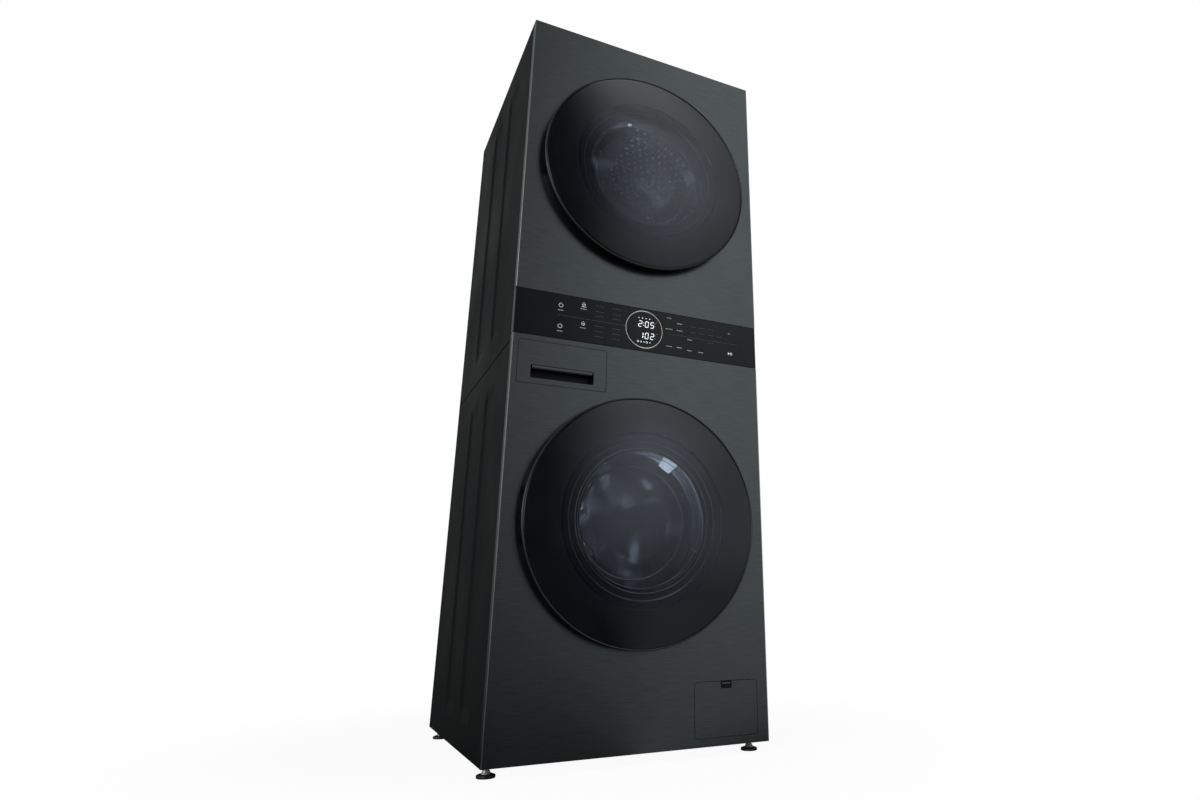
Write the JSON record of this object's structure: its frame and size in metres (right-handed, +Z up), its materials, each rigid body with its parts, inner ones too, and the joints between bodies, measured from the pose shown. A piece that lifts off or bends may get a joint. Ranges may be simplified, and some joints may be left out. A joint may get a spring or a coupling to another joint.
{
  "type": "washer dryer stack",
  "caption": "Tall one-piece laundry tower: front-loading washer below, heat pump dryer above, round tinted glass doors, control strip between, detergent drawer, pump flap and feet.",
  "frame": {"origin": "on the floor under the middle of the whole tower, doors and rear bulge included", "axes": "+X to the right seen from the front, +Y to the back, +Z up"},
  "size_m": [0.6, 0.66, 1.677],
  "materials": {
    "front_steel": "dark brushed steel, satin",
    "side_paint": "charcoal paint, satin",
    "inner_steel": "galvanised sheet",
    "strip_black": "black gloss",
    "door_black": "black, semi gloss",
    "door_glass": "tinted glass",
    "bowl_glass": "clear pressed glass",
    "gasket_rubber": "grey rubber",
    "black_rubber": "black rubber",
    "drum_steel": "stainless steel",
    "zinc_steel": "zinc plated",
    "foot_chrome": "bright plated",
    "tub_plastic": "filled polypropylene",
    "white_plastic": "moulded",
    "dark_plastic": "moulded",
    "filter_blue": "moulded",
    "weight_iron": "cast",
    "copper_coils": "wound wire on steel teeth",
    "fin_aluminium": "fins",
    "seal_felt": "felt",
    "board_green": "circuit board"
  },
  "bodies": {
    "tower": {"base_frame": "inner_steel", "lower_cabinet": "side_paint", "upper_cabinet": "side_paint", "top_cover": "side_paint", "lower_rear_cover": "inner_steel", "upper_rear_cover": "inner_steel", "washer_front_panel": "front_steel", "dryer_front_panel": "front_steel", "control_fascia": "strip_black", "control_board": "board_green", "hinge_brackets": "zinc_steel", "door_locks": "dark_plastic", "door_gasket": "gasket_rubber", "tub_front": "tub_plastic", "tub_rear": "tub_plastic", "counterweight": "weight_iron", "tub_bearings": "zinc_steel", "motor_stator": "copper_coils", "tub_springs": "zinc_steel", "tub_dampers": "dark_plastic", "inlet_valves": "white_plastic", "dispenser_housing": "tub_plastic", "drain_pump": "tub_plastic", "drain_hoses": "black_rubber", "dryer_front_bulkhead": "dark_plastic", "dryer_rear_bulkhead": "inner_steel", "drum_seals": "seal_felt", "dryer_motor": "zinc_steel", "drive_belt": "black_rubber", "heat_pump_base": "dark_plastic", "compressor": "side_paint", "heat_exchangers": "fin_aluminium", "mains_gland": "black_rubber", "cabinet_screws": "zinc_steel"},
    "washer_door": {"washer_door_frame": "door_black", "washer_door_glass": "door_glass", "washer_door_bowl": "bowl_glass", "washer_hinge_leaf": "zinc_steel"},
    "dryer_door": {"dryer_door_frame": "door_black", "dryer_door_glass": "door_glass", "dryer_door_bowl": "bowl_glass", "dryer_hinge_leaf": "zinc_steel"},
    "detergent_drawer": {"drawer_front": "front_steel", "drawer_tray": "white_plastic"},
    "pump_flap": {"pump_flap": "front_steel"},
    "pump_filter": {"pump_filter_cap": "filter_blue"},
    "wash_drum": {"washer_drum": "drum_steel", "washer_lifters": "drum_steel", "drum_spider": "fin_aluminium", "motor_rotor": "zinc_steel"},
    "dry_drum": {"dryer_drum": "drum_steel", "dryer_lifters": "drum_steel"},
    "roller_left": {"roller_left": "black_rubber"},
    "roller_right": {"roller_right": "black_rubber"},
    "motor_shaft": {"motor_shaft": "dark_plastic"},
    "lint_filter": {"lint_filter": "dark_plastic"},
    "foot_front_left": {"foot_front_left": "foot_chrome"},
    "foot_front_right": {"foot_front_right": "foot_chrome"},
    "foot_rear_left": {"foot_rear_left": "foot_chrome"},
    "foot_rear_right": {"foot_rear_right": "foot_chrome"}
  },
  "joints": [
    {"name": "washer_door_hinge", "type": "hinge", "parent": "tower", "child": "washer_door", "pos_m": [-0.253, -0.314, 0.472], "axis": [0, 0, -1], "range_deg": [0, 110]},
    {"name": "dryer_door_hinge", "type": "hinge", "parent": "tower", "child": "dryer_door", "pos_m": [-0.253, -0.314, 1.316], "axis": [0, 0, -1], "range_deg": [0, 110]},
    {"name": "detergent_drawer_slide", "type": "slide", "parent": "tower", "child": "detergent_drawer", "axis": [0, -1, 0], "range_m": [0, 0.22]},
    {"name": "pump_flap_hinge", "type": "hinge", "parent": "tower", "child": "pump_flap", "pos_m": [0.199, -0.293, 0.052], "axis": [1, 0, 0], "range_deg": [0, 90]},
    {"name": "pump_filter_turn", "type": "hinge", "parent": "tower", "child": "pump_filter", "pos_m": [0.199, -0.28, 0.0915], "axis": [0, -1, 0], "range_deg": [0, 270]},
    {"name": "wash_drum_spin", "type": "hinge", "parent": "tower", "child": "wash_drum", "pos_m": [0, 0, 0.472], "axis": [0, 1, 0], "continuous": true},
    {"name": "dry_drum_spin", "type": "hinge", "parent": "tower", "child": "dry_drum", "pos_m": [0, 0, 1.316], "axis": [0, 1, 0], "continuous": true},
    {"name": "motor_shaft_spin", "type": "hinge", "parent": "tower", "child": "motor_shaft", "pos_m": [0.205, -0.06, 1.007], "axis": [0, 1, 0], "continuous": true},
    {"name": "roller_left_spin", "type": "hinge", "parent": "tower", "child": "roller_left", "pos_m": [-0.1723, -0.205, 1.06993], "axis": [0, 1, 0], "continuous": true},
    {"name": "roller_right_spin", "type": "hinge", "parent": "tower", "child": "roller_right", "pos_m": [0.1723, -0.205, 1.06993], "axis": [0, 1, 0], "continuous": true},
    {"name": "lint_filter_slide", "type": "slide", "parent": "tower", "child": "lint_filter", "axis": [0, 0, 1], "range_m": [0, 0.11]},
    {"name": "foot_front_left_screw", "type": "slide", "parent": "tower", "child": "foot_front_left", "axis": [0, 0, -1], "range_m": [0, 0.015]},
    {"name": "foot_front_right_screw", "type": "slide", "parent": "tower", "child": "foot_front_right", "axis": [0, 0, -1], "range_m": [0, 0.015]},
    {"name": "foot_rear_left_screw", "type": "slide", "parent": "tower", "child": "foot_rear_left", "axis": [0, 0, -1], "range_m": [0, 0.015]},
    {"name": "foot_rear_right_screw", "type": "slide", "parent": "tower", "child": "foot_rear_right", "axis": [0, 0, -1], "range_m": [0, 0.015]}
  ],
  "couplings": [
    {"joint": "motor_shaft_spin", "follows": "dry_drum_spin", "ratio": 30},
    {"joint": "roller_left_spin", "follows": "dry_drum_spin", "ratio": -9},
    {"joint": "roller_right_spin", "follows": "dry_drum_spin", "ratio": -9}
  ]
}
